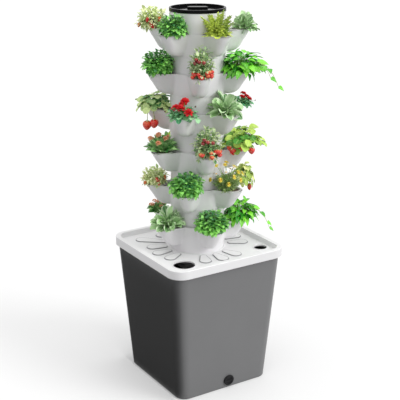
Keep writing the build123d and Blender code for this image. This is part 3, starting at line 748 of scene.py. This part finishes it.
def sage(crop, rng):
    """Round grey-green leaves with pale margins, on short stalks all round the cup, over small dark ones near
    the stem that are painted shade in its middle.
    """
    count, dark = 52, 30
    way, lean = fan(rng, count, widest=1.28, inner=0.01)
    way = unit(way + rng.normal(0, 0.16, way.shape))
    base = root + way * rng.uniform(0.010, 0.020, (count, 1))
    wood(crop, "green_stem", base, thick=0.0012, thin=0.0008)
    length = rng.uniform(0.022, 0.034, count) * (1.12 - 0.12 * lean)
    tint = varied(rng, 0.42 - (lean - 0.8) * 0.2, 0.34, count)
    blades(crop, "sage_leaf", base, way, length, slim=0.70, droop=0.35 + lean * 0.3, fold=0.35,
           shape=round_leaf, rows=10, columns=5, wave=0.05, roll=rng.normal(0, 0.6, count), tint=tint)
    # Small dark leaves low by the stem: painted shade in the middle of the plant
    way, lean = fan(rng, dark, widest=1.1, inner=0.05)
    length = rng.uniform(0.020, 0.028, dark)
    blades(crop, "sage_leaf", root + way * 0.008, way, length, slim=0.5, droop=0.3, fold=0.3,
           shape=round_leaf, rows=8, columns=5, tint=varied(rng, 0.95, 0.06, dark))


def chilli(crop, rng):
    """Airy bush of pale leaves with a few small fruit low on its sides."""
    tips = dome_tips(rng, 46, (0, 0, 0.020), spread=0.034, rise=0.026, fall=0.55, jitter=0.2)
    place, way, share = sprigs(crop, rng, "pale_stem", tips, 9, start=0.55, wide=1.2, close=0.5,
                               thick=0.0011, thin=0.0004)
    length = rng.uniform(0.012, 0.019, len(place))
    tint = varied(rng, 0.5 - (share - 0.45) * 0.9, 0.28, len(place))
    blades(crop, "chilli_leaf", place, way, length, slim=0.56, droop=0.9, fold=0.3, tint=tint)
    spots = np.array([
        (-0.004, 0.036, 0.030), (-0.013, 0.033, 0.014), (-0.014, 0.030, 0.022), (-0.030, 0.012, 0.030),
        (0.028, 0.020, 0.014), (0.030, -0.016, 0.022), (0.010, -0.034, 0.014),
    ])
    ripe = np.array([0.9, 0.8, 0.6, 0.1, 0.0, 0.7, 0.4])
    hang = np.array([0.1, 0.2, -0.8]) + rng.normal(0, 0.3, (3, len(spots))).T
    length = rng.uniform(0.012, 0.016, len(spots))
    fruits(crop, "chilli_skin", spots, hang, length, radius=0.0050, plump=0.38, tint=ripe)


def tomato(crop, rng):
    """Bush of small leaves with dark fruit high up and trusses of ripening fruit spilling over the rim."""
    tips = dome_tips(rng, 44, (0.004, 0, 0.030), spread=0.027, rise=0.040, fall=0.85, jitter=0.18)
    place, way, share = sprigs(crop, rng, "green_stem", tips, 11, start=0.45, wide=1.2, close=0.6,
                               thick=0.0014, thin=0.0005)
    length = rng.uniform(0.010, 0.016, len(place))
    tint = varied(rng, 0.5 - (share - 0.7) * 0.6, 0.3, len(place))
    blades(crop, "tomato_leaf", place, way, length, slim=0.55, droop=0.8, fold=0.35, tint=tint, wave=0.04)
    # Trusses at the left, in the middle and at the right, and dark fruit above them
    hang = (0.2, 0, -1)
    count = 14
    angle = np.repeat([-0.9, 0.05, 0.6, 1.05], (3, 3, 4, 4)) + rng.normal(0, 0.14, count)
    reach = rng.uniform(0.026, 0.032, count)
    low = polar(reach, angle, rng.uniform(0.010, 0.026, count)) + np.array([0.004, 0, 0])
    size = rng.uniform(0.0095, 0.0120, count)
    fruits(crop, "tomato_skin", low, hang, size, size / 2, plump=0.47, tint=rng.uniform(0.2, 1, count))
    star(crop, rng, low)
    angle = np.array([-0.6, -0.3, -0.75, 0.2])
    height = np.array([0.055, 0.050, 0.046, 0.048])
    high = np.stack([0.006 + 0.026 * np.cos(angle), 0.024 * np.sin(angle), height], -1)
    fruits(crop, "dark_tomato_skin", high, hang, length=0.0105, radius=0.0053, plump=0.47,
           tint=rng.uniform(0.3, 1, 4))
    star(crop, rng, high)


def trailing(crop, rng):
    """Large bright pointed leaves on arching stems, with two bare runners that hang out over the cup."""
    count = 70
    upward = np.array([0, 0, 0.3])
    centre = np.array([0.006, 0, 0.000])
    tips = dome_tips(rng, count, centre, spread=0.040, rise=0.042, fall=-0.16)
    wood(crop, "green_stem", tips, thick=0.0014, thin=0.0008)
    way, out = shingled(rng, tips, centre, sway=0.9, lift=1.1)
    length = rng.uniform(0.023, 0.033, count)
    blades(crop, "trailing_leaf", tips, way, length, slim=0.68, droop=0.8, fold=0.25, shape=heart, rows=10,
           columns=5, tint=varied(rng, 0.42, 0.40, count), wave=0.03, face=out + upward)
    inner = tips * 0.72 + rng.normal(0, 0.004, tips.shape)
    way, out = shingled(rng, inner, centre, sway=0.9, lift=0.9)
    blades(crop, "trailing_leaf", inner, way, length * 0.9, slim=0.6, droop=0.6, fold=0.25, shape=heart,
           rows=10, columns=5, tint=varied(rng, 0.8, 0.2, count), face=out + upward)
    # Runners with a leaf in the middle, a round one past it and a small one at the end
    start = np.array([(0.034, -0.010, 0.030), (0.030, 0.008, 0.026)])
    bend = np.array([(0.066, -0.020, 0.036), (0.074, 0.008, 0.030)])
    end = np.array([(0.084, -0.028, -0.006), (0.096, 0.010, -0.036)])
    stalks(crop, "pale_stem", start, bend, end, thick=0.0009, thin=0.0005, rows=12)
    place = bowed(start[:, None], bend[:, None], end[:, None], np.array([0.22, 0.55, 1.0])[:, None])
    way = np.array([(0.9, 0.6, 0.0), (0.5, -0.9, -0.2), (0.9, 0.1, -0.4)] * 2)
    length = np.array([0.024, 0.022, 0.019, 0.026, 0.022, 0.018])
    blades(crop, "trailing_leaf", place.reshape(-1, 3), way, length, slim=0.78, droop=0.6, fold=0.2,
           shape=heart, rows=9, columns=5, tint=rng.uniform(0.2, 0.7, 6),
           face=np.tile([0.4, -0.6, 0.7], (6, 1)))


def strawberry(crop, rng, leaf, fall, berries):
    """Round toothed leaves in threes that lie over a dome of arching stalks, with berries outside the cup.

    Fall is how far below its middle the dome goes, and each berry is (place, length).
    """
    count = 40
    centre = np.array([0, 0, 0.004])
    tips = dome_tips(rng, count, centre, spread=0.034, rise=0.037, fall=fall, jitter=0.22)
    wood(crop, "green_stem", tips, thick=0.0012, thin=0.0008)
    way, out = shingled(rng, tips, centre, sway=0.5, lift=0.8)
    aside = unit(np.cross(out, way))
    angle = np.array([0, 1.8, -1.8]) + rng.normal(0, 0.2, (count, 3))
    way = turned(way[:, None], aside[:, None], angle[..., None]).reshape(-1, 3)
    length = (rng.uniform(0.014, 0.021, (count, 1)) * np.array([1.1, 0.95, 0.95])).ravel()
    tint = varied(rng, np.repeat(rng.normal(0.5, 0.42, count), 3), 0.15, 3 * count)
    base, face = np.repeat(tips, 3, axis=0), np.repeat(out + np.array([0, 0, 0.4]), 3, axis=0)
    blades(crop, leaf, base, way, length, slim=0.9, droop=0.5, fold=0.3, shape=toothed, rows=15, columns=5,
           tint=tint, wave=0.03, roll=rng.normal(0, 0.3, 3 * count), face=face)
    hung = np.array([place for place, size in berries])
    size = np.array([size for place, size in berries])
    top = hung * np.array([0.8, 0.8, 0.0]) + np.array([0.004, 0, 0.020])
    stalks(crop, "pale_stem", root, top, hung, thick=0.0011, thin=0.0008, rows=9)
    fruits(crop, "berry_skin", hung, (0.05, 0.02, -1), size, size * 0.39, plump=0.36, rows=14, sides=18,
           tint=np.linspace(0.5, 0.9, len(hung)))
    star(crop, rng, hung, size=0.009)


def geranium(crop, rng):
    """Rounded leaves under full red flower heads, with dark buds on fine stalks."""
    tips = dome_tips(rng, 20, (0.004, 0, 0.006), spread=0.032, rise=0.022, fall=0.2)
    place, way, share = sprigs(crop, rng, "green_stem", tips, 6, start=0.5, wide=1.3, close=0.7)
    length = rng.uniform(0.013, 0.019, len(place))
    blades(crop, "geranium_leaf", place, way, length, slim=0.8, droop=0.8, fold=0.3, shape=toothed, rows=9,
           columns=5, tint=varied(rng, 0.5, 0.3, len(place)), wave=0.04)
    heads = np.array([
        (0.010, 0.008, 0.048), (0.022, 0.004, 0.034), (0.020, -0.016, 0.028), (0.026, 0.026, 0.022),
        (-0.006, -0.006, 0.036),
    ])
    heads = heads + rng.normal(0, 0.0015, heads.shape)
    wood(crop, "green_stem", heads, thick=0.0013, thin=0.0009)
    face = unit(heads) + np.array([0.5, 0, 0.4])
    rings = ((7, 1.30, 0.95), (7, 1.0, 1.0), (6, 0.7, 1.0), (5, 0.42, 0.95), (3, 0.15, 0.8))
    rosettes(crop, "red_petal", heads - unit(face) * 0.004, face, rings, length=0.0145,
             slim=0.0130 / 0.0145, tint=rng.uniform(0.3, 0.8, len(heads)), fold=0.6, droop=-0.2)
    buds = np.array([
        (0.036, -0.034, 0.020), (0.020, 0.042, 0.038), (0.036, 0.040, 0.012), (0.040, 0.006, 0.024),
    ])
    wood(crop, "green_stem", buds, thick=0.0009, thin=0.0005)
    fruits(crop, "bud_skin", buds, (0.3, 0.1, 1), length=0.0055, radius=0.0022, plump=0.42, tint=0.4)


def kalanchoe(crop, rng):
    """Thick glossy arching leaves with a few clusters of small salmon flowers on top."""
    count = 70
    way, lean = fan(rng, count, widest=0.98, inner=0.02, power=0.75)
    base = root + way * np.array([0.014, 0.014, 0.004])
    length = rng.uniform(0.032, 0.044, count) * (1.0 - 0.1 * lean)
    blades(crop, "kalanchoe_leaf", base, way, length, slim=0.40, droop=0.3 + lean * 0.4, fold=0.5,
           shape=lance, rows=10, columns=5, thick=0.0010, tint=varied(rng, 0.45, 0.40, count),
           roll=rng.normal(0, 0.4, count))
    heads = dome_tips(rng, 7, (0.006, 0, 0.028), spread=0.024, rise=0.012, fall=0.25, jitter=0.15)
    wood(crop, "green_stem", heads, thick=0.0013, thin=0.0008)
    spread = dome_tips(rng, 8, (0, 0, 0), spread=0.0044, rise=0.0040, fall=0.35)
    florets = (heads[:, None] + spread[None]).reshape(-1, 3)
    ways = np.tile(spread, (len(heads), 1)) + np.array([0, 0, 0.001])
    rosettes(crop, "salmon_petal", florets, ways, ((5, 1.3, 1.0),), length=0.0042,
             slim=0.0046 / 0.0042, tint=rng.uniform(0, 1, len(florets)), fold=0.1, droop=0.2)


def daisy(crop, rng):
    """Fine needle foliage with yellow daisies, and some white ones, held above it on thin stalks."""
    tips = dome_tips(rng, 52, (0, 0, 0.016), spread=0.034, rise=0.028, fall=0.0)
    place, way, share = sprigs(crop, rng, "green_stem", tips, 18, start=0.25, wide=0.9, close=0.4,
                               thick=0.0010, thin=0.0005)
    length = rng.uniform(0.010, 0.016, len(place))
    tint = varied(rng, 0.5, 0.3, len(place))
    blades(crop, "daisy_leaf", place, way, length, slim=0.0026 / length, droop=0.5, fold=0.3, rows=5,
           tint=tint)
    heads = dome_tips(rng, 20, (0, 0, 0.036), spread=0.044, rise=0.042, fall=0.2, jitter=0.14)
    wood(crop, "green_stem", heads, thick=0.0009, thin=0.0006)
    ways = unit(heads - np.array([0, 0, 0.012])) + np.array([0.4, -0.2, 0.2])
    rings = ((10, 1.4, 1.0), (8, 1.1, 0.75))
    pale = np.arange(len(heads)) % 3 == 2
    for petal, chosen, length in (("yellow_petal", ~pale, 0.0080), ("white_petal", pale, 0.0064)):
        rosettes(crop, petal, heads[chosen], ways[chosen], rings, length, slim=0.5,
                 tint=rng.uniform(0.2, 1, chosen.sum()), fold=0.1, droop=0.3)
    hearts = heads - unit(ways) * 0.0008
    fruits(crop, "flower_heart", hearts, ways, length=0.0028, radius=0.0024, plump=0.45, rows=6,
           sides=10)


def seedling(crop, rng):
    """Young plant: a small rosette of oval leaves."""
    count = 16
    way, lean = fan(rng, count, widest=1.1, inner=0.05)
    base = root + way * np.array([0.006, 0.006, 0.003])
    length = rng.uniform(0.022, 0.032, count)
    blades(crop, "bright_leaf", base, way, length, slim=0.5, droop=0.4 + lean * 0.3, fold=0.3, rows=9,
           columns=5, wave=0.04, tint=varied(rng, 0.5, 0.25, count))


growers = {grower.__name__: grower for grower in (
    herb, lettuce, sage, chilli, tomato, trailing, strawberry, geranium, kalanchoe, daisy, seedling,
)}

# Leaf, fall and berries of each strawberry plant, by tier and cup from 0
strawberries = {
    (1, 0): ("pale_leaf", 0.55, (((0.026, -0.008, -0.026), 0.023),)),
    (2, 4): ("bright_leaf", -0.16, (((-0.024, -0.030, 0.014), 0.0155), ((-0.017, -0.035, 0.008), 0.0185),
                                    ((-0.001, -0.034, 0.014), 0.0150), ((0.020, -0.032, 0.010), 0.0180))),
    (3, 1): ("strawberry_leaf", -0.02, (((0.013, 0.037, -0.030), 0.029), ((-0.005, 0.040, -0.024), 0.028))),
}


def cup_places(tier):
    """Places of a tier's five stems, and the way out from the tower at each, read from its net pots."""
    pots = frame["nodes"][f"net_pots_{tier + 1}"].data
    points = np.empty(len(pots.vertices) * 3, np.float32)
    pots.vertices.foreach_get("co", points)
    points = points.reshape(-1, 3).astype(float)
    flange = points[points[:, 2] > points[:, 2].max() - flange_band]
    radius = np.hypot(flange[:, 0], flange[:, 1])
    middle = (radius.max() + radius.min()) / 2
    phase = np.exp(1j * cups_per_tier * np.arctan2(flange[:, 1], flange[:, 0])).mean()
    first = np.angle(phase) / cups_per_tier % (2 * pi / cups_per_tier)
    turns = first + np.arange(cups_per_tier) * 2 * pi / cups_per_tier
    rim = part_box(f"tier_{tier + 1}")[1].z
    return [(turn, (middle * cos(turn), middle * sin(turn), rim)) for turn in turns]


for tier, crops in enumerate(tier_crops):
    for cup, ((kind, wide, tall, out, left), (turn, place)) in enumerate(zip(crops, cup_places(tier))):
        crop = Crop()
        rng = np.random.default_rng(first_seed + 10 * tier + cup)
        growers[kind](crop, rng, *strawberries.get((tier, cup), ()))
        size = np.array([wide, wide, tall])
        lean = np.array([out, left, 0]) / 1000
        piece = crop.piece(f"crop_{tier + 1}_{cup + 1}_{kind}", size, lean, turn, place)
        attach(piece, f"tier_{tier + 1}")
        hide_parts(f"plants_{tier + 1}")


def staged(name, corners, material):
    """Four-cornered board that belongs to the studio."""
    mesh = bpy.data.meshes.new(name)
    mesh.from_pydata(corners, [], [(0, 1, 2, 3)])
    mesh.materials.append(material)
    board = put(name, mesh)
    return board


def seen_directly(finish):
    """One for a ray from the camera or a mirror, and nought for light on its way round the studio."""
    rays = finish.node("ShaderNodeLightPath", output="Is Camera Ray")
    return finish.math("MINIMUM", rays + rays.also("Is Glossy Ray") + rays.also("Is Transmission Ray"), 1.0)


def stage_floor():
    """Level floor, white to the eye and duller to the light, so that it throws little back at the object."""
    finish = Finish("stage_floor")
    seen = seen_directly(finish)
    finish.set(base_color=finish.mix(seen, floor_dull, floor_white), roughness=1.0, specular_ior_level=0.0,
               emission_color=white, emission_strength=seen * floor_glow)
    half = floor_size / 2
    staged("floor", [(-half, -half, 0), (half, -half, 0), (half, half, 0), (-half, half, 0)], finish.material)


def stage_net():
    """Fine black net beside the tank's left face, unseen by the camera, that takes off most of its light."""
    finish = Finish("stage_net")
    veil = finish.node("ShaderNodeBsdfTransparent", None, {"Color": (net_share, net_share, net_share)})
    finish.join(finish.tree.nodes["Material Output"].inputs["Surface"], veil)
    staged("net", net_corners, finish.material).visible_camera = False


def aim(stand, way):
    """Turn a lamp or camera to look along a way."""
    stand.rotation_mode = "QUATERNION"
    stand.rotation_quaternion = way.to_track_quat("-Z", "Y")


def lamp(name, way, strength, spread):
    """Distant soft lamp: its strength is the brightness of a white sheet that faces it."""
    light = bpy.data.lights.new(name, "SUN")
    light.energy = strength * pi
    light.angle = radians(spread)
    aim(put(name, light), -Vector(way))


def studio_sky():
    """White surroundings to the eye; as light, low + rise times the height looked at, brightest overhead."""
    sky = Finish("studio", bpy.data.worlds, "Background")
    look = sky.node("ShaderNodeTexCoord", output="Generated")
    level = sky.node("ShaderNodeSeparateXYZ", None, {"Vector": look}, output="Z") * sky_rise + sky_low
    bpy.context.scene.world = sky.set(color=white, strength=level + seen_directly(sky) * (1 - level))


def stand_camera():
    """Camera at the photograph's view."""
    camera = bpy.data.cameras.new("camera")
    camera.lens = camera_lens
    camera.shift_x = camera_shift
    stand = put("camera", camera)
    stand.location = camera_place
    azimuth, drop = radians(camera_azimuth), radians(camera_drop)
    aim(stand, Vector((-sin(azimuth) * cos(drop), cos(azimuth) * cos(drop), -sin(drop))))
    bpy.context.scene.camera = stand


stage_floor()
stage_net()
lamp("key", key_way, key_strength, key_spread)
lamp("top", top_way, top_strength, top_spread)
studio_sky()
stand_camera()
bpy.context.scene.view_settings.view_transform = "Standard"
